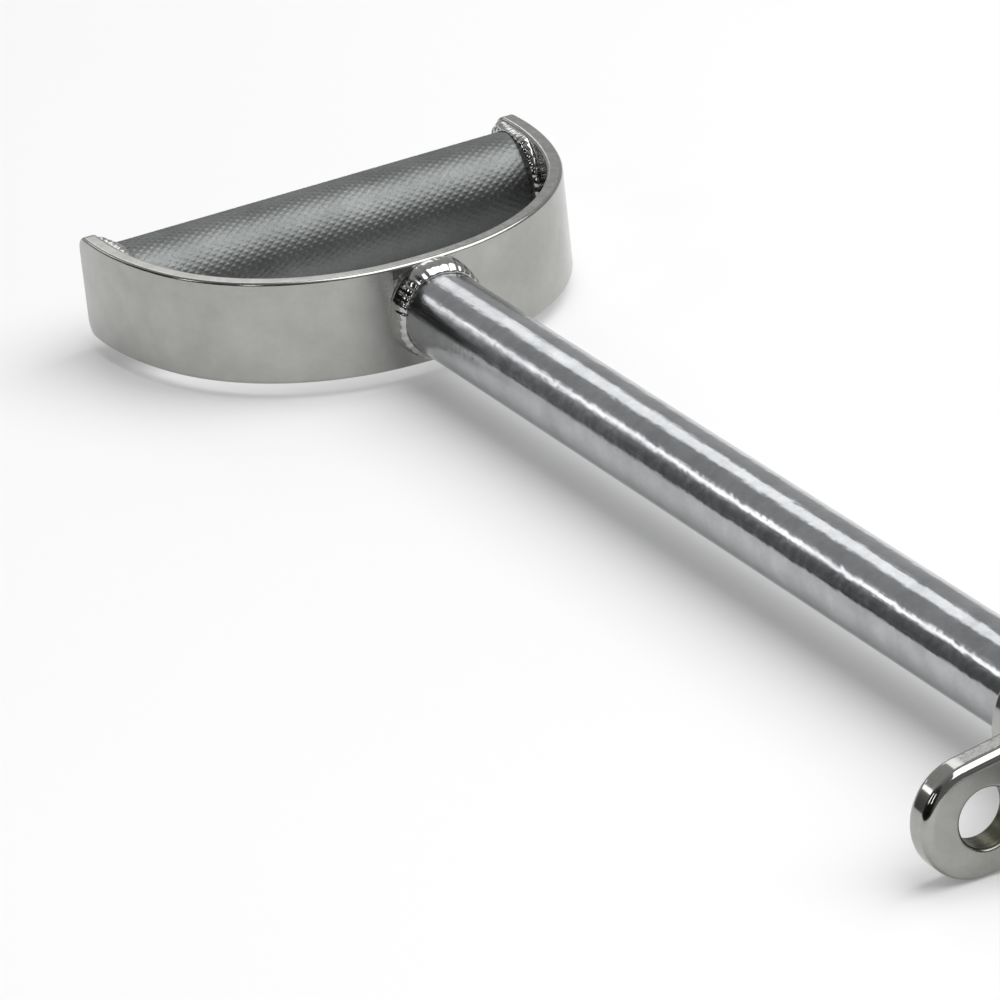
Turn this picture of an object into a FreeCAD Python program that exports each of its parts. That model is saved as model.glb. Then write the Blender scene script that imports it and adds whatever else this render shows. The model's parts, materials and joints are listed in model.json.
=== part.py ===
"""Parallel-grip pull bar with a revolving hanger, in millimetres.

A solid bar runs along X between two D-shaped stirrups. Each stirrup is a flat strip bent
on edge, with a knurled tube grip welded across its open side. In the middle a hub turns
on two bushes between set-screw collars, and carries an eye plate for the cable's hook.
The origin is the middle of the bar, on its axis. +Z is square to the stirrups' plane.
"""
import FreeCAD, Part
import math
import os
import Sketcher
from FreeCAD import Placement, Rotation, Vector

DIMENSIONS = (
    # alias, value, what it is
    ("bar_diameter", 25.4, "solid round bar"),
    ("bar_length", 750.0, "between the stirrups' noses"),
    ("strip_thickness", 4.76, "flat strip of the stirrups"),
    ("strip_height", 31.75, "flat strip, across its edges"),
    ("strip_edge_round", 1.0, "eased edges, all round"),
    ("strip_corner_radius", 5.0, "rounded corners of the strip's ends"),
    ("stirrup_depth", 88.0, "nose to tips"),
    ("nose_radius", 100.0, "outer radius of the stirrup at the bar"),
    ("nose_half_angle", 7.0, "half the nose arc"),
    ("shoulder_radius", 66.4, "outer radius of the stirrup's shoulders"),
    ("shoulder_angle", 63.5, "sweep of one shoulder arc"),
    ("side_radius", 100.0, "outer radius beside the grip"),
    ("grip_diameter", 29.4, "over the knurl's crests"),
    ("grip_bore", 22.2, "inside the grip tube"),
    ("grip_offset", 73.7, "nose to grip axis"),
    ("grip_weld_leg", 4.5, "fillet weld at the grip's ends"),
    ("bar_weld_rise", 3.0, "fillet weld on the bar, outward"),
    ("bar_weld_run", 6.5, "fillet weld on the bar, along it"),
    ("hub_diameter", 41.3, "hub tube and collars, outside"),
    ("hub_bore", 31.75, "hub tube, inside"),
    ("hub_length", 31.75, "hub tube"),
    ("hub_edge_round", 1.2, "rounded rims of hub and collars"),
    ("bush_bore", 25.5, "0.05 clearance all round the bar"),
    ("bush_length", 12.7, "each of the two bushes"),
    ("bush_chamfer", 0.6, "lead-in of a bush's bore"),
    ("side_gap", 0.25, "end float between hub and collar"),
    ("collar_width", 12.7, "set-screw collar"),
    ("screw_diameter", 7.94, "5/16 in set screw"),
    ("screw_length", 7.4, "set screw, end to end"),
    ("screw_socket_flats", 3.97, "hexagon socket, across flats"),
    ("screw_socket_depth", 3.6, "hexagon socket"),
    ("screw_chamfer", 0.8, "both ends of the set screw"),
    ("eye_thickness", 9.525, "eye plate"),
    ("eye_reach", 44.3, "hub axis to the centre of the plate's round end"),
    ("eye_end_radius", 16.1, "round end of the plate"),
    ("eye_base_radius", 18.4, "circle about the hub axis that the plate's edges meet"),
    ("eye_edge_round", 2.6, "rounded edges of the plate"),
    ("eye_hole_diameter", 16.7, "takes a 5/8 in pin or hook"),
    ("eye_hole_inset", 2.5, "hole centre, back from the end's centre"),
    ("eye_hole_round", 1.0, "rounded rim of the hole"),
    ("eye_droop", 5.9, "plate below level, so that its end rests with the hub"),
    ("eye_weld_leg", 4.0, "fillet welds between plate and hub"),
)
OVERLAP = 2.0           # how far a cutting form runs past the face it cuts
TIP_OVERRUN = 8.0       # how far the form inside a stirrup runs past its tips
ALONG_X = Rotation(Vector(0, 1, 0), 90)
ALONG_Y = Rotation(Vector(1, 0, 0), -90)

doc = FreeCAD.newDocument("PullBar")
sheet = doc.addObject("Spreadsheet::Sheet", "Dims")
for row, (alias, value, note) in enumerate(DIMENSIONS, start=1):
    sheet.set(f"A{row}", note)
    sheet.set(f"B{row}", str(value))
    sheet.setAlias(f"B{row}", alias)
doc.recompute()
nodes = []


def dim(alias):
    """A driving dimension, read back from the sheet."""
    return float(sheet.get(alias))


def bind(obj, **expressions):
    """Binds properties to the sheet. Words that are aliases are looked up in it."""
    for prop, expression in expressions.items():
        obj.setExpression(prop, in_sheet(expression))
    return obj


def in_sheet(expression):
    """The expression, with each alias in it turned into a reference to the sheet."""
    aliases = {alias for alias, _, _ in DIMENSIONS}
    words = expression.split()
    return " ".join(f"Dims.{word}" if word in aliases else word for word in words)


def node(obj, name):
    """Marks a finished piece: its label names its file."""
    obj.Label = name
    nodes.append(obj)
    return obj


def primitive(kind, name, placement=None, **expressions):
    """A Part primitive with its sizes bound to the sheet."""
    obj = doc.addObject(f"Part::{kind}", name)
    if placement:
        obj.Placement = placement
    return bind(obj, **expressions)


def cut(name, base, tool):
    """base without tool."""
    obj = doc.addObject("Part::Cut", name)
    obj.Base = base
    obj.Tool = tool
    return obj


def common(name, first, second):
    """Where two solids overlap."""
    obj = doc.addObject("Part::Common", name)
    obj.Base = first
    obj.Tool = second
    return obj


def ease(kind, name, base, size, chosen):
    """A Part::Fillet or Part::Chamfer on the edges that chosen(edge) accepts."""
    doc.recompute()
    picked = [i for i, edge in enumerate(base.Shape.Edges, start=1) if chosen(edge)]
    assert picked, f"{name}: no edge chosen"
    obj = doc.addObject(f"Part::{kind}", name)
    obj.Base = base
    obj.Edges = [(i, size, size) for i in picked]
    return obj


def origin_plane(body, role):
    """One of a body's own base planes."""
    return next(f for f in body.Origin.OriginFeatures if f.Role == role)


def new_sketch(body, name, role):
    """A sketch on one of the body's base planes."""
    sketch = body.newObject("Sketcher::SketchObject", name)
    sketch.AttachmentSupport = (origin_plane(body, role), [""])
    sketch.MapMode = "FlatFace"
    return sketch


def limit(sketch, kind, *where, value=None, expression=None):
    """Adds one constraint, and binds its value if an expression is given."""
    amount = () if value is None else (value,)
    index = sketch.addConstraint(Sketcher.Constraint(kind, *where, *amount))
    if expression:
        sketch.setExpression(f"Constraints[{index}]", in_sheet(expression))
    return index


# ---------------------------------------------------------------- stirrups

def d_form(name, inset, overrun):
    """A solid D as deep as a stirrup, its nose at the origin and its flat side towards -X.

    inset is the alias of what is taken off all round, or "0"; overrun lengthens the sides.
    The outline is five tangent arcs, closed by a straight line.
    """
    offset = dim(inset) if inset != "0" else 0.0
    nose = dim("nose_radius") - offset
    shoulder = dim("shoulder_radius") - offset
    side = dim("side_radius") - offset
    first = math.radians(dim("nose_half_angle"))
    second = first + math.radians(dim("shoulder_angle"))
    nose_centre = Vector(-dim("nose_radius"), 0, 0)
    out = Vector(math.cos(first), math.sin(first), 0)
    shoulder_centre = nose_centre + out * (nose - shoulder)
    out = Vector(math.cos(second), math.sin(second), 0)
    side_centre = shoulder_centre + out * (shoulder - side)
    back = -dim("stirrup_depth") - overrun
    last = math.acos((back - side_centre.x) / side)

    body = doc.addObject("PartDesign::Body", name)
    sketch = new_sketch(body, name + "Outline", "XY_Plane")

    def arc(centre, radius, start, end):
        circle = Part.Circle(centre, Vector(0, 0, 1), radius)
        return sketch.addGeometry(Part.ArcOfCircle(circle, start, end))

    flip = Vector(side_centre.x, -side_centre.y, 0)
    low_side = arc(flip, side, -last, -second)
    flip = Vector(shoulder_centre.x, -shoulder_centre.y, 0)
    low_shoulder = arc(flip, shoulder, -second, -first)
    nose_arc = arc(nose_centre, nose, -first, first)
    high_shoulder = arc(shoulder_centre, shoulder, first, second)
    high_side = arc(side_centre, side, second, last)
    tip = Vector(back, side_centre.y + side * math.sin(last), 0)
    chord = sketch.addGeometry(Part.LineSegment(tip, Vector(tip.x, -tip.y, 0)))

    chain = (low_side, low_shoulder, nose_arc, high_shoulder, high_side)
    for before, after in zip(chain, chain[1:]):
        limit(sketch, "Tangent", before, 2, after, 1)
    limit(sketch, "Coincident", high_side, 2, chord, 1)
    limit(sketch, "Coincident", chord, 2, low_side, 1)
    limit(sketch, "Vertical", chord)
    limit(sketch, "Vertical", nose_arc, 1, nose_arc, 2)
    limit(sketch, "PointOnObject", nose_arc, 3, -1)
    limit(sketch, "DistanceX", nose_arc, 3, -1, 1, value=-nose_centre.x, expression="nose_radius")
    limit(sketch, "DistanceX", chord, 1, -1, 1, value=-back, expression=f"stirrup_depth + {overrun}")
    sizes = ((nose_arc, "nose_radius", nose), (low_shoulder, "shoulder_radius", shoulder),
             (high_shoulder, "shoulder_radius", shoulder), (low_side, "side_radius", side),
             (high_side, "side_radius", side))
    for edge, alias, radius in sizes:
        limit(sketch, "Radius", edge, value=radius, expression=f"{alias} - {inset}")
    limit(sketch, "Angle", nose_arc, value=2 * first, expression="nose_half_angle * 2 * 1 deg")
    for edge in (low_shoulder, high_shoulder):
        limit(sketch, "Angle", edge, value=second - first, expression="shoulder_angle * 1 deg")

    pad = body.newObject("PartDesign::Pad", name + "Pad")
    pad.Profile = sketch
    pad.Midplane = True
    bind(pad, Length="strip_height")
    return body


def form_at(side_name, kind, inset, overrun):
    """The D form of one stirrup, with its nose at that end of the bar."""
    left = side_name == "left"
    form = d_form(side_name + kind, inset, overrun)
    end = dim("bar_length") / 2
    form.Placement = Placement(Vector(-end if left else end, 0, 0), Rotation(0 if left else 180, 0, 0))
    return form


def round_corners(name, strip, end):
    """The strip with the corners of its two ends rounded, as a blank is before it is bent."""
    depth = dim("stirrup_depth")
    blank = primitive("Box", name + "Blank", Height="strip_height")
    blank.Length = depth + OVERLAP
    blank.Width = 2 * dim("side_radius")
    left = end < 0
    low = end - depth if left else end - OVERLAP
    blank.Placement.Base = Vector(low, -dim("side_radius"), -dim("strip_height") / 2)
    tips = low if left else low + depth + OVERLAP

    def at_tips(edge):
        box = edge.BoundBox
        return box.YLength > 1 and abs(box.Center.x - tips) < 0.01

    rounded = ease("Fillet", name + "BlankRounded", blank, dim("strip_corner_radius"), at_tips)
    return common(name + "Trimmed", strip, rounded)


def face_outline(edge):
    """True for the edges of a strip's broad faces, which are its long edges and its ends."""
    return edge.Length > 2 * dim("strip_thickness")


def cross_cylinder(name, at, alias):
    """A cylinder along Y, wider than a stirrup: the round of the grip, or its bore."""
    width = 2 * dim("side_radius")
    place = Placement(Vector(at, -width / 2, 0), ALONG_Y)
    obj = primitive("Cylinder", name, place, Radius=f"{alias} / 2")
    obj.Height = width
    return obj


def grip_weld(name, at, side, inner, outer, grip_round):
    """The fillet weld round one end of a grip, on the inside of the strip. side is -1 or 1."""
    leg = dim("grip_weld_leg")
    wall = inner.Shape.BoundBox.YMax
    ring = doc.addObject("Part::Cone", name + "Ring")
    bind(ring, Radius1="grip_diameter / 2", Radius2=f"grip_diameter / 2 + grip_weld_leg + {OVERLAP}",
         Height=f"grip_weld_leg + {OVERLAP}")
    turn = ALONG_Y if side > 0 else ALONG_Y.inverted()
    ring.Placement = Placement(Vector(at, side * (wall - leg), 0), turn)
    inside = common(name + "Inside", ring, inner)
    within_tips = common(name + "WithinTips", inside, outer)
    return node(cut(name, within_tips, grip_round), name)


def stirrup_with_grip(side_name):
    """A stirrup, its grip and the grip's two welds. Returns the stirrup's outer form."""
    outer = form_at(side_name, "OuterForm", "0", 0.0)
    inner = form_at(side_name, "InnerForm", "strip_thickness", TIP_OVERRUN)
    strip = cut(side_name + "Strip", outer, inner)
    end = outer.Placement.Base.x
    trimmed = round_corners(side_name + "Strip", strip, end)
    eased = ease("Fillet", side_name + "StripEased", trimmed, dim("strip_edge_round"), face_outline)
    node(eased, side_name + "_stirrup")

    at = end + math.copysign(dim("grip_offset"), end)
    grip_round = cross_cylinder(side_name + "GripRound", at, "grip_diameter")
    bore = cross_cylinder(side_name + "GripBore", at, "grip_bore")
    tube = cut(side_name + "GripTube", grip_round, bore)
    node(common(side_name + "Grip", tube, inner), side_name + "_grip")
    for end_name, side in (("front", -1), ("rear", 1)):
        grip_weld(f"{side_name}_grip_weld_{end_name}", at, side, inner, outer, grip_round)
    return outer


# ---------------------------------------------------------------- bar

def bar_round(name):
    """A plain round along the whole bar, a little longer than it."""
    place = Placement(Vector(-dim("bar_length") / 2 - OVERLAP, 0, 0), ALONG_X)
    return primitive("Cylinder", name, place, Radius="bar_diameter / 2",
                     Height=f"bar_length + 2 * {OVERLAP}")


def bar_weld(name, side, outer):
    """The fillet weld between the bar and a stirrup's nose. side is -1 or 1."""
    end = Vector(side * dim("bar_length") / 2, 0, 0)
    inward = ALONG_X if side < 0 else ALONG_X.inverted()
    ring = doc.addObject("Part::Cone", name + "Ring")
    bind(ring, Radius1="bar_diameter / 2 + bar_weld_rise", Radius2="bar_diameter / 2",
         Height="bar_weld_run")
    ring.Placement = Placement(end, inward)
    skirt = doc.addObject("Part::Cylinder", name + "Skirt")
    bind(skirt, Radius="bar_diameter / 2 + bar_weld_rise")
    skirt.Height = OVERLAP
    skirt.Placement = Placement(end, inward.multiply(Rotation(0, 180, 0)))
    whole = doc.addObject("Part::Fuse", name + "Whole")
    whole.Base = ring
    whole.Tool = skirt
    ring_only = cut(name + "Open", whole, bar_round(name + "Core"))
    return node(cut(name, ring_only, outer), name)


def bar_and_welds(outers):
    """The bar, its ends shaped to the stirrups' noses, and the weld round each end."""
    bar = bar_round("BarRound")
    for side_name, outer in outers.items():
        bar = cut("BarTo" + side_name, bar, outer)
    node(bar, "bar")
    for side_name, side in (("left", -1), ("right", 1)):
        bar_weld(side_name + "_bar_weld", side, outers[side_name])


# ---------------------------------------------------------------- hanger

def turned_ring(name, outside, bore, length):
    """A ring about the X axis, centred on the origin, as a revolved rectangle."""
    body = doc.addObject("PartDesign::Body", name)
    sketch = new_sketch(body, name + "Section", "XZ_Plane")
    half = dim(length) / 2
    low = dim(bore) / 2
    high = dim(outside) / 2
    corners = [Vector(-half, low, 0), Vector(half, low, 0), Vector(half, high, 0), Vector(-half, high, 0)]
    for start, end in zip(corners, corners[1:] + corners[:1]):
        sketch.addGeometry(Part.LineSegment(start, end))
    for line in range(4):
        limit(sketch, "Coincident", line, 2, (line + 1) % 4, 1)
    for line in (1, 3):
        limit(sketch, "Vertical", line)
    limit(sketch, "Horizontal", 2)
    limit(sketch, "Symmetric", 0, 1, 0, 2, -2)
    limit(sketch, "DistanceX", 0, 1, 0, 2, value=2 * half, expression=length)
    limit(sketch, "DistanceY", -1, 1, 0, 1, value=low, expression=f"{bore} / 2")
    limit(sketch, "DistanceY", -1, 1, 2, 1, value=high, expression=f"{outside} / 2")
    turn = body.newObject("PartDesign::Revolution", name + "Turn")
    turn.Profile = sketch
    turn.ReferenceAxis = (sketch, ["H_Axis"])
    turn.Angle = 360
    doc.recompute()
    return body


def rim_edges(shape, radius):
    """The names of the round edges of that radius, for a dress-up feature."""
    found = []
    for i, edge in enumerate(shape.Edges, start=1):
        if isinstance(edge.Curve, Part.Circle) and abs(edge.Curve.Radius - radius) < 0.01:
            found.append(f"Edge{i}")
    return found


def dress(body, kind, alias, radius, prop):
    """A fillet or chamfer of a turned ring's rims of that radius."""
    base = body.Tip
    feature = body.newObject(f"PartDesign::{kind}", body.Name + kind)
    feature.Base = (base, rim_edges(base.Shape, radius))
    bind(feature, **{prop: alias})
    doc.recompute()
    return feature


def hub():
    """The hub tube that turns with the eye plate."""
    body = turned_ring("Hub", "hub_diameter", "hub_bore", "hub_length")
    dress(body, "Fillet", "hub_edge_round", dim("hub_diameter") / 2, "Radius")
    node(body, "hub")


def bushes():
    """A bush pressed into each end of the hub, flush with it."""
    middle = (dim("hub_length") - dim("bush_length")) / 2
    for side_name, side in (("left", -1), ("right", 1)):
        body = turned_ring(side_name + "Bush", "hub_bore", "bush_bore", "bush_length")
        dress(body, "Chamfer", "bush_chamfer", dim("bush_bore") / 2, "Size")
        body.Placement = Placement(Vector(side * middle, 0, 0), Rotation())
        node(body, side_name + "_bush")


def set_screw(name, middle):
    """A hexagon-socket set screw, standing on the bar with its socket upwards."""
    foot = Placement(Vector(middle, 0, dim("bar_diameter") / 2), Rotation())
    shank = primitive("Cylinder", name + "Shank", foot, Radius="screw_diameter / 2",
                      Height="screw_length")
    eased = ease("Chamfer", name + "Eased", shank, dim("screw_chamfer"),
                 lambda edge: isinstance(edge.Curve, Part.Circle))
    floor = foot.Base.z + dim("screw_length") - dim("screw_socket_depth")
    socket = primitive("Prism", name + "Socket", Placement(Vector(middle, 0, floor), Rotation()),
                       Circumradius="screw_socket_flats / sqrt(3)",
                       Height=f"screw_socket_depth + {OVERLAP}")
    socket.Polygon = 6
    node(cut(name, eased, socket), name)


def collars():
    """The two collars that keep the hub in the middle of the bar, with their set screws."""
    middle = dim("hub_length") / 2 + dim("side_gap") + dim("collar_width") / 2
    for side_name, side in (("left", -1), ("right", 1)):
        body = turned_ring(side_name + "Collar", "hub_diameter", "bar_diameter", "collar_width")
        dress(body, "Fillet", "hub_edge_round", dim("hub_diameter") / 2, "Radius")
        solid_volume = body.Shape.Volume
        sketch = new_sketch(body, side_name + "ScrewHole", "XY_Plane")
        hole = sketch.addGeometry(Part.Circle(Vector(), Vector(0, 0, 1), dim("screw_diameter") / 2))
        limit(sketch, "Coincident", hole, 3, -1, 1)
        limit(sketch, "Diameter", hole, value=dim("screw_diameter"), expression="screw_diameter")
        pocket = body.newObject("PartDesign::Pocket", side_name + "ScrewPocket")
        pocket.Profile = sketch
        pocket.Reversed = True
        pocket.Type = "ThroughAll"
        doc.recompute()
        wall = (dim("hub_diameter") - dim("bar_diameter")) / 2
        drilled = math.pi * dim("screw_diameter") ** 2 / 4 * wall
        assert abs(solid_volume - body.Shape.Volume - drilled) < 0.1 * drilled, "screw hole"
        body.Placement = Placement(Vector(side * middle, 0, 0), Rotation())
        node(body, side_name + "_collar")
        set_screw(side_name + "_set_screw", side * middle)


def eye_outline(body, name, inset):
    """The eye plate's outline in the YZ plane: a round end towards -Y, and straight edges that
    meet a circle about the hub axis. inset is the alias of what is taken off all round, or "0"."""
    offset = dim(inset) if inset != "0" else 0.0
    reach = dim("eye_reach")
    end = dim("eye_end_radius") - offset
    base = dim("eye_base_radius") - offset
    sketch = new_sketch(body, name, "YZ_Plane")
    lean = math.asin((base - end) / reach)
    out = Vector(-math.sin(lean), math.cos(lean), 0)
    down = Vector(out.x, -out.y, 0)
    centre = Vector(-reach, 0, 0)
    round_end = sketch.addGeometry(Part.ArcOfCircle(
        Part.Circle(centre, Vector(0, 0, 1), end), math.pi / 2 + lean, 3 * math.pi / 2 - lean))
    lower = sketch.addGeometry(Part.LineSegment(centre + down * end, down * base))
    upper = sketch.addGeometry(Part.LineSegment(out * base, centre + out * end))
    chord = sketch.addGeometry(Part.LineSegment(down * base, out * base))
    circle = sketch.addGeometry(Part.Circle(Vector(), Vector(0, 0, 1), base), True)
    limit(sketch, "Coincident", circle, 3, -1, 1)
    limit(sketch, "PointOnObject", round_end, 3, -1)
    limit(sketch, "Tangent", round_end, 2, lower, 1)
    limit(sketch, "Tangent", upper, 2, round_end, 1)
    limit(sketch, "Tangent", lower, 2, circle)
    limit(sketch, "Tangent", upper, 1, circle)
    limit(sketch, "Coincident", lower, 2, chord, 1)
    limit(sketch, "Coincident", chord, 2, upper, 1)
    limit(sketch, "DistanceX", round_end, 3, -1, 1, value=reach, expression="eye_reach")
    limit(sketch, "Radius", round_end, value=end, expression=f"eye_end_radius - {inset}")
    limit(sketch, "Radius", circle, value=base, expression=f"eye_base_radius - {inset}")
    return sketch


def round_pocket(body, name, at, alias):
    """A round hole along X through the plate, at (y, 0)."""
    sketch = new_sketch(body, name, "YZ_Plane")
    hole = sketch.addGeometry(Part.Circle(Vector(at, 0, 0), Vector(0, 0, 1), dim(alias) / 2))
    limit(sketch, "PointOnObject", hole, 3, -1)
    limit(sketch, "Diameter", hole, value=dim(alias), expression=alias)
    if at:
        limit(sketch, "DistanceX", hole, 3, -1, 1, value=-at, expression="eye_reach - eye_hole_inset")
    else:
        limit(sketch, "PointOnObject", hole, 3, -2)
    before = body.Shape.Volume
    pocket = body.newObject("PartDesign::Pocket", name + "Pocket")
    pocket.Profile = sketch
    pocket.Type = "ThroughAll"
    pocket.Midplane = True
    doc.recompute()
    assert body.Shape.Volume < before, f"{name} cuts nothing"


def on_eye_rim(edge):
    """True for the edges of the plate's faces that end outside the hub."""
    box = edge.BoundBox
    return box.XLength < 0.01 and box.YMin < -dim("eye_base_radius")


def eye_plate(lean):
    """The plate that the cable hooks to, shaped to the hub."""
    body = doc.addObject("PartDesign::Body", "EyePlate")
    pad = body.newObject("PartDesign::Pad", "EyePad")
    pad.Profile = eye_outline(body, "EyeOutline", "0")
    pad.Midplane = True
    bind(pad, Length="eye_thickness")
    doc.recompute()
    picked = [f"Edge{i}" for i, edge in enumerate(pad.Shape.Edges, start=1) if on_eye_rim(edge)]
    fillet = body.newObject("PartDesign::Fillet", "EyeEdges")
    fillet.Base = (pad, picked)
    bind(fillet, Radius="eye_edge_round")
    doc.recompute()
    round_pocket(body, "EyeSaddle", 0, "hub_diameter")
    round_pocket(body, "EyeHole", dim("eye_hole_inset") - dim("eye_reach"), "eye_hole_diameter")
    dress(body, "Fillet", "eye_hole_round", dim("eye_hole_diameter") / 2, "Radius")
    body.Placement = lean
    node(body, "eye_plate")


def eye_welds(lean):
    """The fillet weld between plate and hub, on each face of the plate."""
    half = dim("eye_thickness") / 2
    for side_name, side in (("left", -1), ("right", 1)):
        name = f"eye_weld_{side_name}"
        ring = doc.addObject("Part::Cone", name + "Ring")
        bind(ring, Radius1="hub_diameter / 2 + eye_weld_leg", Radius2="hub_diameter / 2",
             Height="eye_weld_leg")
        turn = ALONG_X if side > 0 else ALONG_X.inverted()
        ring.Placement = Placement(Vector(side * half, 0, 0), turn)
        core_at = Placement(Vector(-dim("hub_length") / 2, 0, 0), ALONG_X)
        core = primitive("Cylinder", name + "Core", core_at, Radius="hub_diameter / 2",
                         Height="hub_length")
        limiter = doc.addObject("PartDesign::Body", name + "Limit")
        pad = limiter.newObject("PartDesign::Pad", name + "LimitPad")
        pad.Profile = eye_outline(limiter, name + "LimitOutline", "eye_edge_round")
        pad.Midplane = True
        bind(pad, Length="hub_length")
        limiter.Placement = lean
        node(common(name, cut(name + "Open", ring, core), limiter), name)


# ---------------------------------------------------------------- build and write

bar_and_welds({side_name: stirrup_with_grip(side_name) for side_name in ("left", "right")})
hub()
bushes()
collars()
droop = Placement(Vector(), Rotation(Vector(1, 0, 0), dim("eye_droop")))
eye_plate(droop)
eye_welds(droop)

doc.recompute()
failed = [obj.Name for obj in doc.Objects if {"Invalid", "Error"} & set(obj.State)]
assert not failed, f"failed objects: {failed}"
for obj in nodes:
    assert not obj.Shape.isNull() and obj.Shape.isValid(), f"bad shape: {obj.Label}"
    assert len(obj.Shape.Solids) == 1, f"{obj.Label} has {len(obj.Shape.Solids)} solids"

os.makedirs("parts", exist_ok=True)
for obj in nodes:
    obj.Shape.exportStep(f"parts/{obj.Label}.step")
    print(f"{obj.Label}: {obj.Shape.Volume:.0f} mm3")
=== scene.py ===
"""Looks for a chrome-plated pull bar: a round bar between two D-shaped stirrups, with a
revolving eye hanger in the middle. Metres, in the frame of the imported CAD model.
"""

import json
import math
import random

import bmesh
import bpy
from mathutils import Matrix, Vector


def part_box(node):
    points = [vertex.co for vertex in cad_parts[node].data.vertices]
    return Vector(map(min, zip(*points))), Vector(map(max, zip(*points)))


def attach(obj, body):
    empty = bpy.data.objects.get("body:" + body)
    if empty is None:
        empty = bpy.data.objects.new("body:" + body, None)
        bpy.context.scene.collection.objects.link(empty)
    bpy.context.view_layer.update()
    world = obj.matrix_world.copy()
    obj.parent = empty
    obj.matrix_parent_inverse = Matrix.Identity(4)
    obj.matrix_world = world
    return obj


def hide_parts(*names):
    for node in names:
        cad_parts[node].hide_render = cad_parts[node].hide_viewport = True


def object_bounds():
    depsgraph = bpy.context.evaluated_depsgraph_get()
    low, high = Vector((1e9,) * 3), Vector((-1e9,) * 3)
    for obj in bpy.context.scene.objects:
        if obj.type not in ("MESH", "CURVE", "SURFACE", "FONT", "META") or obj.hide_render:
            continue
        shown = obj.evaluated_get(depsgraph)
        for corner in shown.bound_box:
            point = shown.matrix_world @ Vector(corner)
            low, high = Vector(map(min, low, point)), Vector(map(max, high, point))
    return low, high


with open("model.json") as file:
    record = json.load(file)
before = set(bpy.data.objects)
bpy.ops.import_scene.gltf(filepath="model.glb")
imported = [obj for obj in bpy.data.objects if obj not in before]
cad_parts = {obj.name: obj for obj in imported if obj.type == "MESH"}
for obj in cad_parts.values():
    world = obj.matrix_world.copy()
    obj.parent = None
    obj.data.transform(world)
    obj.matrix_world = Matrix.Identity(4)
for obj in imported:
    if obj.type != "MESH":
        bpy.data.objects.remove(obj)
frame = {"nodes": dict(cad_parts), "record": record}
cad_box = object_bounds()
nodes = frame["nodes"]
boxes = {name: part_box(name) for name in nodes}

MM = 0.001
SIDES = (("left", -1), ("right", 1))
ENDS = (("front", -1), ("rear", 1))

# Sizes of the CAD model that its boxes don't give.
BAR_LENGTH = 750 * MM             # between the stirrups' noses
EDGE_ROUND = 1.0 * MM             # the strip's eased edges
EYE_DROOP = math.radians(5.9)     # how far the eye plate hangs below level
EYE_RIM = 4.3 * MM                # flat part of the eye plate's rim, between its rounded edges
EYE_SIDES = 46.0 * MM             # how far out the straight sides of the eye plate run

# The grips.
KNURL_PITCH = 2.1 * MM            # across one diamond, round the grip
KNURL_LEAN = 1.6                  # length of a diamond over its width
KNURL_DEPTH = 0.23 * MM
KNURL_FLAT = 0.45                 # worn flat on a diamond's top, as a share of it
PLAIN_END = 3.5 * MM              # smooth band at each end of a grip
PLAIN_STEP = 0.1 * MM             # a plain band lies this far under the crests
PLAIN_SLOPE = 0.4 * MM            # length of the step down from the knurl to a plain band
GRIP_INTO_STRIP = 0.3 * MM        # a grip's ends run this far into the strip

# Weld beads. Shares are of the bead's solid, or of BEAD_BULGE for a crown.
RIPPLE = 3.0 * MM                 # pitch of a bead's ripples
RIPPLE_HEIGHT = 0.45 * MM
RIPPLE_UNEVEN = 0.25              # share of a ripple's height that varies
RIPPLE_SKEW = 0.7                 # under 1, a ripple rises steeply and has a long tail
RIPPLE_STEPS = 8                  # sections of a bead in one ripple
RIPPLE_SHIFT = 2.0                # radians between the toes' wander and the ripples' strength
BEAD_BULGE = 1.3 * MM             # a bead's crown over the flat fillet
BEAD_FULLNESS = 0.7               # under 1, a bead rises steeply from its toes
BEAD_SINK = 0.25 * MM             # a bead's toes lie this far inside the metal
BEAD_WANDER = 0.5 * MM            # how far a hand-laid bead's toes wander
BEAD_POINTS = 13                  # points across a bead, toe to toe
BAR_BEAD_RISE = 0.68              # at the bead's sides and bottom; on top it has its whole rise
BAR_BEAD_RUN = 0.95
GRIP_WELD_SLOPE = 1.0 * MM        # a grip weld's box is this much longer than its leg
GRIP_BEAD_RUN = 0.9
GRIP_BEAD_UNEVEN = 0.12           # how much that run varies
GRIP_BEAD_SHIFT = 1.0             # radians between the wander of a grip bead's two toes
GRIP_BEAD_CROWN = 0.6
TOE_SEARCH_STEP = 0.1 * MM        # a toe that misses the strip is drawn in by steps of this
EYE_BEAD_HALF_TURN = math.radians(65)
EYE_BEAD_TAPERS = 8               # each end tapers over one part in this many of the bead
EYE_BEAD_TIP = 0.02               # keeps the tips a little open
EYE_BEAD_UNEVEN = 0.1
EYE_BEAD_CROWN = 0.5

# Where finishes change.
BORE_FADE = (0.1 * MM, 0.5 * MM)  # outside a bore's wall
RIM_FADE = 0.3 * MM               # each side of the rim's edges
END_FADE = 0.8 * MM               # each side of the end of the eye plate's straight sides
DULL_BAR = (200 * MM, 360 * MM)   # the bar grows duller between these distances from its middle
MIX_SOCKETS = {"RGBA": (6, 7, 2), "FLOAT": (2, 3, 0)}     # a Mix node's two inputs and output

FLOOR_HALF = 14.0                 # metres, half the floor's side
CREASE_ANGLE = math.radians(35)   # edges of the CAD solids sharper than this stay sharp

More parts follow.
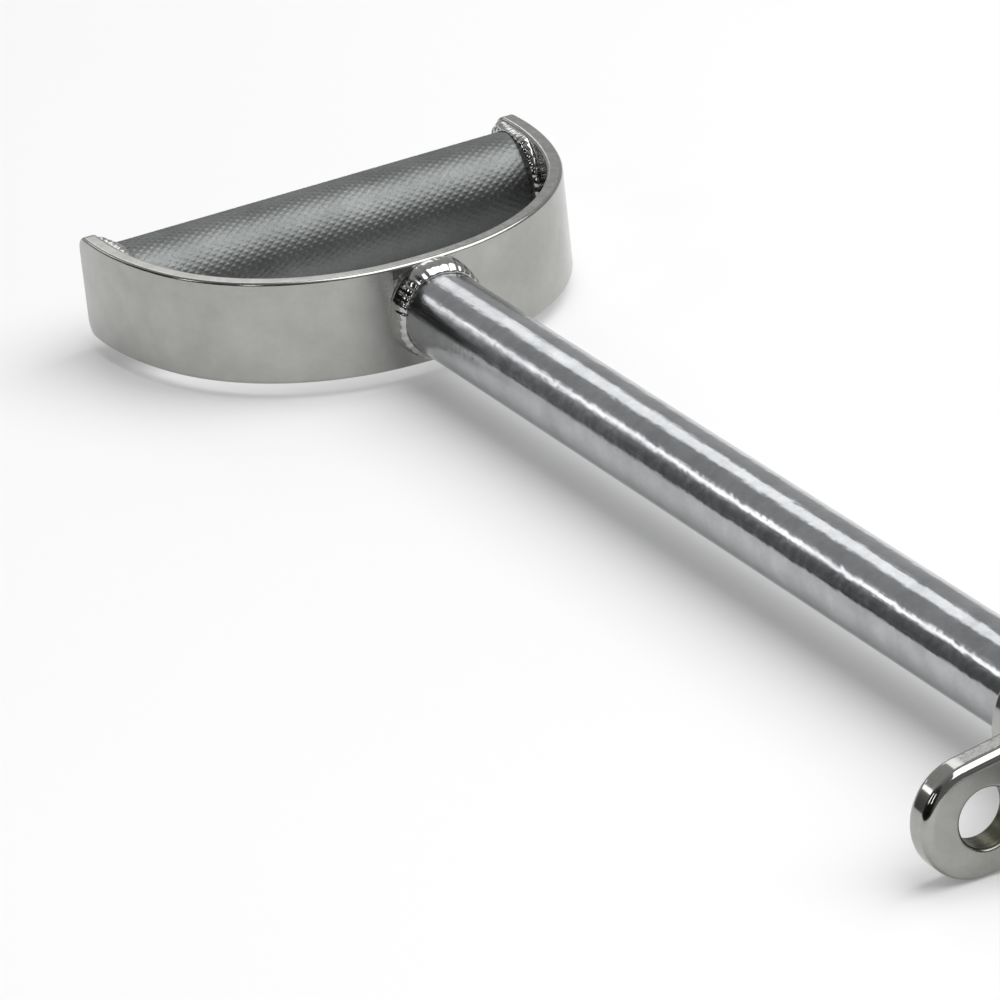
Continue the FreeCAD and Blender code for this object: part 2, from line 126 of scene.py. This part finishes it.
# The softboxes: name, direction to it, direction of its length, distance, length, width, radiance.
SOFTBOXES = (
    ("overhead", (0.2, 0.39, 0.89), (1, 0, 0), 2.6, 3.2, 3.2, 3.0),
    ("broad_streak", (-0.826, 0.225, 0.516), (-0.5, 0, -0.8), 3.2, 1.2, 0.80, 1.5),
    ("crisp_streak", (-0.826, -0.398, 0.398), (-0.6, 0.8, 0), 3.2, 0.9, 0.26, 2.8),
    ("side_glint", (-0.30, -0.80, 0.52), (0, 0, 1), 3.2, 0.9, 0.22, 6.0),
    ("front_glint", (0.25, -0.80, 0.55), (0, 0, 1), 3.2, 0.9, 0.22, 6.0),
)

CAMERA_PLACE = (1.67637, -0.96109, 0.93934)
CAMERA_AZIMUTH = math.radians(64.584)     # from the front, towards the right
CAMERA_ELEVATION = math.radians(23.857)
CAMERA_ROLL = math.radians(6.254)
CAMERA_LENS = 305.06                      # mm, on a sensor 36 mm wide


# ------------------------------------------------------------------ materials

def new_material(name):
    """A material, its node tree and its shader."""
    material = bpy.data.materials.new(name)
    material.use_nodes = True
    tree = material.node_tree
    return material, tree, tree.nodes["Principled BSDF"]


def link(tree, source, target):
    tree.links.new(source, target)


def coordinates(tree, scale):
    """Object coordinates, scaled along each axis."""
    where = tree.nodes.new("ShaderNodeTexCoord")
    mapping = tree.nodes.new("ShaderNodeMapping")
    mapping.inputs["Scale"].default_value = scale
    link(tree, where.outputs["Object"], mapping.inputs["Vector"])
    return mapping.outputs["Vector"]


def noise(tree, scale, size, detail=4.0, roughness=0.55):
    """A noise value. scale stretches it along each axis, and size is its frequency per metre."""
    texture = tree.nodes.new("ShaderNodeTexNoise")
    texture.inputs["Scale"].default_value = size
    texture.inputs["Detail"].default_value = detail
    texture.inputs["Roughness"].default_value = roughness
    link(tree, coordinates(tree, scale), texture.inputs["Vector"])
    return texture.outputs["Fac"]


def spread(tree, value, low, high, from_low=0.3, from_high=0.7):
    """Maps a value from one range to the range from low to high. A noise value spans the first."""
    node = tree.nodes.new("ShaderNodeMapRange")
    node.inputs["From Min"].default_value = from_low
    node.inputs["From Max"].default_value = from_high
    node.inputs["To Min"].default_value = low
    node.inputs["To Max"].default_value = high
    link(tree, value, node.inputs["Value"])
    return node.outputs["Result"]


def grey(level):
    return (level, level, level)


def ramp(tree, value, *stops):
    """A colour ramp of (position, colour) stops."""
    node = tree.nodes.new("ShaderNodeValToRGB")
    elements = node.color_ramp.elements
    while len(elements) < len(stops):
        elements.new(0.5)
    for element, (position, colour) in zip(elements, stops):
        element.position = position
        element.color = (*colour, 1.0)
    link(tree, value, node.inputs["Fac"])
    return node.outputs["Color"]


def bump(tree, value, distance, under=None):
    """A bump of that height in metres, on top of another normal if one is given."""
    node = tree.nodes.new("ShaderNodeBump")
    node.inputs["Distance"].default_value = distance
    node.inputs["Strength"].default_value = 1.0
    link(tree, value, node.inputs["Height"])
    if under:
        link(tree, under, node.inputs["Normal"])
    return node.outputs["Normal"]


def plated(name, dark, light, smooth, rough, grain, grain_size, grain_height,
           wave_size, wave_height):
    """Chrome plate: its tint, its polish, the grain of the steel below it and its slow waves.

    dark and light are the ends of its tint, and smooth and rough those of its polish. grain
    stretches the grain along each axis. Sizes are frequencies per metre.
    """
    material, tree, shader = new_material(name)
    shader.inputs["Metallic"].default_value = 1.0
    streaks = noise(tree, grain, grain_size)
    clouds = noise(tree, (1, 1, 1), 70.0, detail=6.0, roughness=0.7)
    link(tree, ramp(tree, clouds, (0.3, dark), (0.7, light)), shader.inputs["Base Color"])
    link(tree, spread(tree, streaks, smooth, rough), shader.inputs["Roughness"])
    waves = noise(tree, (1, 1, 1), wave_size, detail=2.0)
    normal = bump(tree, waves, wave_height, under=bump(tree, streaks, grain_height))
    link(tree, normal, shader.inputs["Normal"])
    return material


def object_place(tree):
    """Where a point is on the object."""
    return tree.nodes.new("ShaderNodeTexCoord").outputs["Object"]


def vector_step(tree, operation, vector, operand=None):
    """A vector operation's node, to take its outputs from."""
    node = tree.nodes.new("ShaderNodeVectorMath")
    node.operation = operation
    link(tree, vector, node.inputs[0])
    if operand:
        node.inputs[1].default_value = operand
    return node


def length_over(tree, offset, axes):
    """How long a vector is, counting only the axes that have a 1."""
    kept = vector_step(tree, "MULTIPLY", offset, axes).outputs["Vector"]
    return vector_step(tree, "LENGTH", kept).outputs["Value"]


def value_step(tree, operation, first, second):
    """One step of arithmetic on two values."""
    node = tree.nodes.new("ShaderNodeMath")
    node.operation = operation
    link(tree, first, node.inputs[0])
    link(tree, second, node.inputs[1])
    return node.outputs["Value"]


def fed_by(shader, name):
    """What a socket of the shader is linked to."""
    return shader.inputs[name].links[0].from_socket


def in_bore(tree, centre, radius):
    """1 on the wall of a bore along X, and 0 outside it."""
    offset = vector_step(tree, "SUBTRACT", object_place(tree), centre).outputs["Vector"]
    off_axis = length_over(tree, offset, (0, 1, 1))
    start, end = BORE_FADE
    return spread(tree, off_axis, 1.0, 0.0, radius + start, radius + end)


def on_sides(tree, half, reach):
    """1 on the straight sides of the eye plate's rim, which lie within half of its middle plane
    and within reach of the hub's axis, and 0 on its faces and its round end."""
    place = object_place(tree)
    off_middle = length_over(tree, place, (1, 0, 0))
    between_faces = spread(tree, off_middle, 1.0, 0.0, half - RIM_FADE, half + RIM_FADE)
    out = vector_step(tree, "DOT_PRODUCT", place, (0, -1, 0)).outputs["Value"]
    before_end = spread(tree, out, 1.0, 0.0, reach - END_FADE, reach + END_FADE)
    return value_step(tree, "MULTIPLY", between_faces, before_end)


def dulled(material, inside, tint, polish):
    """Gives a plated material another tint and roughness where the value inside is 1."""
    tree = material.node_tree
    shader = tree.nodes["Principled BSDF"]
    for name, kind, dull in (("Base Color", "RGBA", (*tint, 1.0)), ("Roughness", "FLOAT", polish)):
        first, second, out = MIX_SOCKETS[kind]
        mix = tree.nodes.new("ShaderNodeMix")
        mix.data_type = kind
        link(tree, inside, mix.inputs["Factor"])
        link(tree, fed_by(shader, name), mix.inputs[first])
        mix.inputs[second].default_value = dull
        link(tree, mix.outputs[out], shader.inputs[name])


def plated_eye():
    """The eye plate's finish: its sawn rim is mottled under the plating, and the wall of its
    hole is darker and rougher."""
    material = plated("plated_eye", (0.305, 0.31, 0.29), (0.41, 0.41, 0.39),
                      0.05, 0.14, (1, 1, 1), 900.0, 0.003 * MM, 60.0, 0.09 * MM)
    tree = material.node_tree
    shader = tree.nodes["Principled BSDF"]
    sides = on_sides(tree, EYE_RIM / 2, EYE_SIDES)
    dulled(material, sides, (0.27, 0.27, 0.265), 0.26)
    mottle = value_step(tree, "MULTIPLY", noise(tree, (1, 1, 1), 700.0, detail=2.0), sides)
    mottled = bump(tree, mottle, 0.12 * MM, under=fed_by(shader, "Normal"))
    link(tree, mottled, shader.inputs["Normal"])
    hole = next(mount for mount in frame["record"]["mounts"] if mount["name"] == "hanger_eye")
    wall = in_bore(tree, hole["pos_m"], hole["dims"]["r_mm"] * MM)
    dulled(material, wall, (0.10, 0.10, 0.07), 0.34)
    return material


def plated_bar():
    """The bar's finish: a drawn surface, dappled under its plating, and duller towards the
    stirrups, where it was ground after welding."""
    material = plated("plated_bar", (0.31, 0.32, 0.33), (0.45, 0.46, 0.47),
                      0.09, 0.19, (0.012, 1, 1), 2600.0, 0.010 * MM, 110.0, 0.18 * MM)
    tree = material.node_tree
    shader = tree.nodes["Principled BSDF"]
    dapple = noise(tree, (0.5, 1, 1), 320.0, detail=2.0)
    dappled = bump(tree, dapple, 0.08 * MM, under=fed_by(shader, "Normal"))
    link(tree, dappled, shader.inputs["Normal"])
    off_middle = length_over(tree, object_place(tree), (1, 0, 0))
    near_stirrup = spread(tree, off_middle, 0.0, 0.07, *DULL_BAR)
    total = value_step(tree, "ADD", fed_by(shader, "Roughness"), near_stirrup)
    link(tree, total, shader.inputs["Roughness"])
    return material


def plain_metal(name, dark, light, metallic, smooth, rough, size, height):
    """A bush's bronze or a screw's black oxide: mottled, with a fine even grain."""
    material, tree, shader = new_material(name)
    shader.inputs["Metallic"].default_value = metallic
    grain = noise(tree, (1, 1, 1), size)
    link(tree, ramp(tree, grain, (0.35, dark), (0.65, light)), shader.inputs["Base Color"])
    link(tree, spread(tree, grain, smooth, rough), shader.inputs["Roughness"])
    link(tree, bump(tree, grain, height), shader.inputs["Normal"])
    return material


def make_materials():
    """Every finish on the object, by the record's slot."""
    along_strip = (0.25, 0.25, 1)
    even = (1, 1, 1)
    return {
        "plated_bar": plated_bar(),
        "plated_strip": plated("plated_strip", (0.345, 0.35, 0.33), (0.42, 0.42, 0.405),
                               0.12, 0.24, along_strip, 1500.0, 0.003 * MM, 60.0, 0.09 * MM),
        "plated_steel": plated("plated_steel", (0.36, 0.365, 0.35), (0.42, 0.42, 0.41),
                               0.05, 0.14, even, 900.0, 0.003 * MM, 60.0, 0.09 * MM),
        "plated_weld": plated("plated_weld", (0.40, 0.40, 0.39), (0.50, 0.50, 0.49),
                              0.06, 0.18, even, 1200.0, 0.01 * MM, 330.0, 0.22 * MM),
        "knurled_grip": plated("knurled_grip", (0.142, 0.15, 0.146), (0.198, 0.207, 0.202),
                               0.40, 0.56, even, 1600.0, 0.008 * MM, 60.0, 0.05 * MM),
        "bush_bronze": plain_metal("bush_bronze", (0.30, 0.19, 0.09), (0.48, 0.31, 0.15),
                                   1.0, 0.30, 0.5, 2500.0, 0.01 * MM),
        "black_screw": plain_metal("black_screw", (0.012, 0.012, 0.014), (0.03, 0.03, 0.034),
                                   0.6, 0.25, 0.45, 3000.0, 0.006 * MM),
    }


# ------------------------------------------------------------------ meshes

def new_piece(name, vertices, faces, material, body, stands_for):
    """A closed mesh that rides on a body and stands for a CAD node."""
    mesh = bpy.data.meshes.new(name)
    mesh.from_pydata(vertices, [], faces)
    shell = bmesh.new()
    shell.from_mesh(mesh)
    bmesh.ops.recalc_face_normals(shell, faces=shell.faces)
    shell.to_mesh(mesh)
    shell.free()
    mesh.shade_smooth()
    piece = bpy.data.objects.new(name, mesh)
    bpy.context.scene.collection.objects.link(piece)
    mesh.materials.append(material)
    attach(piece, body)
    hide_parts(stands_for)


def ring_faces(rings, count, closed):
    """Quads between rings of count vertices each, numbered one ring after another. A closed row
    of rings joins its last to its first, and an open one has a face over each end."""
    faces = []
    for r in range(rings if closed else rings - 1):
        near, far = r * count, (r + 1) % rings * count
        for i in range(count):
            j = (i + 1) % count
            faces.append((near + i, near + j, far + j, far + i))
    if not closed:
        faces.append(tuple(reversed(range(count))))
        faces.append(tuple((rings - 1) * count + i for i in range(count)))
    return faces


def surface_at(node, start, direction, fallback):
    """Where a ray from start first meets a CAD node, or fallback if it misses."""
    hit, place, _, _ = nodes[node].ray_cast(start, direction)
    return place if hit else fallback


def wall_at(side_name, place, side):
    """The point on the inside of a stirrup straight out from place along Y, on the end that side
    gives. Beyond the strip's tip it is as far out as at the tip."""
    low, high = boxes[f"{side_name}_stirrup"]
    start = place.copy()
    start.x = min(max(place.x, low.x + 2 * EDGE_ROUND), high.x - 2 * EDGE_ROUND)
    wall = surface_at(f"{side_name}_stirrup", start, Vector((0, side, 0)), start)
    return Vector((place.x, wall.y, place.z))


def knurled_grip(side_name, material):
    """The grip as a cylinder covered in diamonds: pyramids with a small flat on top, between two
    families of crossing grooves. Plain bands run from the knurl to its ends in the strip."""
    low, high = boxes[f"{side_name}_grip"]
    at = (low.x + high.x) / 2
    crest = (high.z - low.z) / 2
    root = crest - KNURL_DEPTH
    columns = round(2 * math.pi * crest / KNURL_PITCH)
    knurl_half = high.y - PLAIN_END
    rows = 2 * round(knurl_half / (KNURL_PITCH * KNURL_LEAN / 2))
    step = 2 * knurl_half / rows
    turn = 2 * math.pi / columns
    vertices = []
    faces = []

    def point(angle, y, radius):
        vertices.append((at + radius * math.cos(angle), y, radius * math.sin(angle)))
        return len(vertices) - 1

    # Groove crossings: each row is half a diamond further on, and turned by half a pitch.
    grid = [[point((i + 0.5 * (row % 2)) * turn, -knurl_half + row * step, root)
             for i in range(columns)] for row in range(rows + 1)]
    for row in range(rows - 1):
        shift = row % 2
        for i in range(columns):
            bottom = grid[row][i]
            left = grid[row + 1][(i - 1 + shift) % columns]
            right = grid[row + 1][(i + shift) % columns]
            top = grid[row + 2][i]
            angle = (i + 0.5 * shift) * turn
            y = -knurl_half + (row + 1) * step
            tip = [point(angle, y - KNURL_FLAT * step, crest),
                   point(angle + KNURL_FLAT * turn / 2, y, crest),
                   point(angle, y + KNURL_FLAT * step, crest),
                   point(angle - KNURL_FLAT * turn / 2, y, crest)]
            base = (bottom, right, top, left)
            faces.append(tuple(tip))
            for k in range(4):
                m = (k + 1) % 4
                faces.append((base[k], base[m], tip[m], tip[k]))
    # The half diamonds at each end are closed by flat triangles, then the plain ends.
    for edge_row, near_row in ((0, 1), (rows, rows - 1)):
        for i in range(columns):
            a = grid[edge_row][i]
            b = grid[edge_row][(i + 1) % columns]
            c = grid[near_row][(i + (edge_row % 2)) % columns]
            faces.append((a, b, c))
    for edge_row, sign in ((0, -1), (rows, 1)):
        shift = 0.5 * (edge_row % 2)
        plain = crest - PLAIN_STEP
        angles = [(i + shift) * turn for i in range(columns)]
        band = [point(angle, sign * (knurl_half + PLAIN_SLOPE), plain) for angle in angles]
        end = []
        for index, angle in zip(band, angles):
            wall = wall_at(side_name, Vector(vertices[index]), sign)
            end.append(point(angle, wall.y + sign * GRIP_INTO_STRIP, plain))
        for ring, after in ((grid[edge_row], band), (band, end)):
            for i in range(columns):
                j = (i + 1) % columns
                faces.append((ring[i], after[i], after[j], ring[j]))
        faces.append(tuple(end))
    new_piece(f"{side_name}_knurled_grip", vertices, faces, material,
              "bar_assembly", f"{side_name}_grip")


def wander(seed, turns):
    """A smooth random function of an angle, from -1 to 1, that closes on itself."""
    draw = random.Random(seed)
    waves = [(turn, draw.uniform(0, 2 * math.pi)) for turn in turns]
    return lambda angle: sum(math.sin(turn * angle + phase) for turn, phase in waves) / len(waves)


def ripple(along, uneven):
    """The height of a bead's ripples that far along it: overlapping crescents, each with a steep
    front and a long tail. uneven, from -1 to 1, makes them stronger or weaker."""
    share = (along / RIPPLE) % 1.0
    height = RIPPLE_HEIGHT * (1 - RIPPLE_UNEVEN + RIPPLE_UNEVEN * uneven)
    return height * math.sin(math.pi * share ** RIPPLE_SKEW)


def bead_section(first_toe, second_toe, corner, bulge):
    """One section of a bead: a crowned curve from toe to toe, closed through the corner."""
    out = ((first_toe + second_toe) / 2 - corner).normalized()
    section = []
    for i in range(BEAD_POINTS):
        share = i / (BEAD_POINTS - 1)
        crown = bulge * (4 * share * (1 - share)) ** BEAD_FULLNESS
        section.append(first_toe.lerp(second_toe, share) + out * (crown - BEAD_SINK))
    section.append(corner - out * BEAD_SINK)
    return section


def bead(name, sections, closed, body, material, stands_for):
    """A weld bead through its sections, closed on itself or with two ends."""
    vertices = [point for section in sections for point in section]
    faces = ring_faces(len(sections), len(sections[0]), closed)
    new_piece(name, vertices, faces, material, body, stands_for)


def bar_bead(side_name, side, material):
    """The bead round the bar, on the outside of a stirrup's nose."""
    low, high = boxes["bar"]
    weld_low, weld_high = boxes[f"{side_name}_bar_weld"]
    radius = (high.z - low.z) / 2
    rise = (weld_high.z - weld_low.z) / 2 - radius
    nose = side * BAR_LENGTH / 2
    run = abs(nose - (weld_high.x if side < 0 else weld_low.x))
    steps = RIPPLE_STEPS * round(2 * math.pi * (radius + rise) / RIPPLE)
    outward = wander(side_name, (2, 3, 5, 8))
    along = wander(side_name + "run", (2, 4, 7))
    sections = []
    for k in range(steps):
        angle = 2 * math.pi * k / steps
        direction = Vector((0, math.cos(angle), math.sin(angle)))
        top = max(0.0, math.sin(angle)) ** 2
        share = BAR_BEAD_RISE + (1 - BAR_BEAD_RISE) * top
        reach = radius + rise * share + BEAD_WANDER * outward(angle)
        start = direction * reach
        ray = Vector((side, 0, 0))
        seat = Vector((nose, 0, 0))
        toe = surface_at(f"{side_name}_stirrup", start, ray, start + seat)
        on_bar = direction * radius
        corner = surface_at(f"{side_name}_stirrup", on_bar, ray, on_bar + seat)
        length = run * BAR_BEAD_RUN + BEAD_WANDER * along(angle)
        toe_on_bar = on_bar + seat - ray * length
        bulge = BEAD_BULGE + ripple(k * RIPPLE / RIPPLE_STEPS, along(angle + RIPPLE_SHIFT))
        sections.append(bead_section(toe, toe_on_bar, corner, bulge))
    bead(f"{side_name}_nose_bead", sections, True, "bar_assembly", material,
         f"{side_name}_bar_weld")


def grip_bead(side_name, end_name, side, material):
    """The bead round one end of a grip, on the inside of a stirrup. side is its end along Y."""
    node = f"{side_name}_grip_weld_{end_name}"
    low, high = boxes[f"{side_name}_grip"]
    weld_low, weld_high = boxes[node]
    middle = Vector(((low.x + high.x) / 2, 0, 0))
    radius = (high.z - low.z) / 2 - KNURL_DEPTH
    leg = weld_high.y - weld_low.y - GRIP_WELD_SLOPE
    steps = RIPPLE_STEPS * round(2 * math.pi * (radius + leg) / RIPPLE)
    outward = wander(node, (2, 3, 5))
    ray = Vector((0, side, 0))
    sections = []
    for k in range(steps):
        angle = 2 * math.pi * k / steps
        direction = Vector((math.cos(angle), 0, math.sin(angle)))
        reach = radius + leg + BEAD_WANDER * outward(angle)
        while reach > radius and not nodes[f"{side_name}_stirrup"].ray_cast(
                middle + direction * (reach + EDGE_ROUND / 2), ray)[0]:
            reach -= TOE_SEARCH_STEP
        toe = wall_at(side_name, middle + direction * max(reach, radius + KNURL_DEPTH), side)
        corner = wall_at(side_name, middle + direction * radius, side)
        run = leg * (GRIP_BEAD_RUN + GRIP_BEAD_UNEVEN * outward(angle + GRIP_BEAD_SHIFT))
        toe_on_grip = corner - ray * run + direction * KNURL_DEPTH
        strength = outward(angle + RIPPLE_SHIFT)
        bulge = GRIP_BEAD_CROWN * BEAD_BULGE + ripple(k * RIPPLE / RIPPLE_STEPS, strength)
        sections.append(bead_section(toe, toe_on_grip, corner, bulge))
    bead(f"{side_name}_grip_bead_{end_name}", sections, True, "bar_assembly", material, node)


def eye_bead(side_name, side, material):
    """The bead between one face of the eye plate and the hub, along the hub's curve."""
    hub_low, hub_high = boxes["hub"]
    _, plate_high = boxes["eye_plate"]
    weld_low, weld_high = boxes[f"eye_weld_{side_name}"]
    radius = (hub_high.z - hub_low.z) / 2
    face = side * plate_high.x
    leg = weld_high.x - weld_low.x
    middle = math.pi + EYE_DROOP
    steps = RIPPLE_STEPS * round(2 * EYE_BEAD_HALF_TURN * radius / RIPPLE)
    lowest_toe = hub_low.z + EYE_BEAD_CROWN * BEAD_BULGE      # leaves the crown above the floor
    uneven = wander("eye" + side_name, (4, 7, 11))
    sections = []
    for k in range(steps + 1):
        share = k / steps
        angle = middle + (2 * share - 1) * EYE_BEAD_HALF_TURN
        nearness = max(0.0, 1 - EYE_BEAD_TAPERS * min(share, 1 - share))
        taper = math.sqrt(1 + EYE_BEAD_TIP - nearness ** 2)
        direction = Vector((0, math.cos(angle), math.sin(angle)))
        size = leg * taper * (1 + EYE_BEAD_UNEVEN * uneven(angle))
        if direction.z < 0:
            size = min(size, lowest_toe / direction.z - radius)
        toe_on_hub = direction * radius + Vector((face + side * size, 0, 0))
        toe_on_plate = direction * (radius + size) + Vector((face, 0, 0))
        corner = direction * radius + Vector((face, 0, 0))
        crest = ripple(k * RIPPLE / RIPPLE_STEPS, uneven(angle))
        bulge = taper * (EYE_BEAD_CROWN * BEAD_BULGE + crest)
        sections.append(bead_section(toe_on_hub, toe_on_plate, corner, bulge))
    bead(f"eye_bead_{side_name}", sections, False, "hanger", material, f"eye_weld_{side_name}")


# ------------------------------------------------------------------ stage

def floor_material():
    """A pale matt floor, very slightly uneven in tone, and lit from below like a light table,
    which keeps the shadows on it pale."""
    material, tree, shader = new_material("pale_floor")
    tone = noise(tree, (1, 1, 1), 1.5, detail=2.0)
    link(tree, ramp(tree, tone, (0.3, grey(0.68)), (0.7, grey(0.70))), shader.inputs["Base Color"])
    shader.inputs["Roughness"].default_value = 0.9
    shader.inputs["Emission Color"].default_value = (1.0, 1.0, 1.0, 1.0)
    shader.inputs["Emission Strength"].default_value = 0.19
    return material


def make_floor():
    level = cad_box[0].z
    corners = [(x * FLOOR_HALF, y * FLOOR_HALF, level)
               for x, y in ((-1, -1), (1, -1), (1, 1), (-1, 1))]
    mesh = bpy.data.meshes.new("floor")
    mesh.from_pydata(corners, [], [(0, 1, 2, 3)])
    floor = bpy.data.objects.new("floor", mesh)
    bpy.context.scene.collection.objects.link(floor)
    mesh.materials.append(floor_material())


def softbox(name, towards, along, distance, length, width, radiance):
    """A rectangular softbox that faces the middle of the object from the direction towards it.
    along is the direction of its length; radiance is how bright its face looks."""
    lamp = bpy.data.lights.new(name, "AREA")
    lamp.shape = "RECTANGLE"
    lamp.size = length
    lamp.size_y = width
    lamp.energy = radiance * math.pi * length * width
    away = Vector(towards).normalized()
    right = (Vector(along) - away * away.dot(Vector(along))).normalized()
    turn = Matrix((right, away.cross(right), away)).transposed()
    holder = bpy.data.objects.new(name, lamp)
    holder.matrix_world = Matrix.Translation(away * distance) @ turn.to_4x4()
    bpy.context.scene.collection.objects.link(holder)


def make_world():
    """A dim studio: mid grey beyond the left end, darker beyond the right end and towards -Y."""
    world = bpy.data.worlds.new("studio")
    world.use_nodes = True
    tree = world.node_tree
    background = tree.nodes["Background"]
    where = tree.nodes.new("ShaderNodeTexCoord")
    split = tree.nodes.new("ShaderNodeSeparateXYZ")
    link(tree, where.outputs["Generated"], split.inputs["Vector"])
    near = spread(tree, split.outputs["X"], 1.0, 0.45, -0.7, 0.4)
    place = spread(tree, split.outputs["Y"], 0.0, 1.0, -1.0, 1.0)
    across = ramp(tree, place, (0.10, grey(0.02)), (0.20, grey(0.12)), (0.235, grey(0.20)),
                  (0.26, grey(0.42)), (0.75, grey(0.50)))
    link(tree, value_step(tree, "MULTIPLY", near, across), background.inputs["Strength"])
    background.inputs["Color"].default_value = (1.0, 1.0, 1.0, 1.0)
    bpy.context.scene.world = world


def make_camera():
    """A long lens, a little rolled, that looks down the bar from the right and the front."""
    back = Vector((math.sin(CAMERA_AZIMUTH) * math.cos(CAMERA_ELEVATION),
                   -math.cos(CAMERA_AZIMUTH) * math.cos(CAMERA_ELEVATION),
                   math.sin(CAMERA_ELEVATION)))
    level = Vector((0, 0, 1)).cross(back).normalized()
    upright = back.cross(level)
    right = level * math.cos(CAMERA_ROLL) - upright * math.sin(CAMERA_ROLL)
    up = level * math.sin(CAMERA_ROLL) + upright * math.cos(CAMERA_ROLL)
    lens = bpy.data.cameras.new("camera")
    lens.lens = CAMERA_LENS
    lens.sensor_width = 36.0
    lens.clip_end = 100.0
    camera = bpy.data.objects.new("camera", lens)
    bpy.context.scene.collection.objects.link(camera)
    turn = Matrix((right, up, back)).transposed()
    camera.matrix_world = Matrix.Translation(CAMERA_PLACE) @ turn.to_4x4()
    bpy.context.scene.camera = camera


# ------------------------------------------------------------------ build

materials = make_materials()
eye_finish = plated_eye()
slots = {part["node"]: part["material_slot"] for part in frame["record"]["subparts"]}
for name, piece in nodes.items():
    mesh = piece.data
    mesh.shade_smooth()
    mesh.set_sharp_from_angle(angle=CREASE_ANGLE)
    finish = eye_finish if name == "eye_plate" else materials[slots[name]]
    if mesh.materials:
        mesh.materials[0] = finish
    else:
        mesh.materials.append(finish)
    even = piece.modifiers.new("even_normals", "WEIGHTED_NORMAL")
    even.keep_sharp = True
for side_name, side in SIDES:
    knurled_grip(side_name, materials["knurled_grip"])
    bar_bead(side_name, side, materials["plated_weld"])
    eye_bead(side_name, side, materials["plated_weld"])
    for end_name, end in ENDS:
        grip_bead(side_name, end_name, end, materials["plated_weld"])
make_floor()
make_world()
for box in SOFTBOXES:
    softbox(*box)
make_camera()
bpy.context.scene.view_settings.view_transform = "Standard"
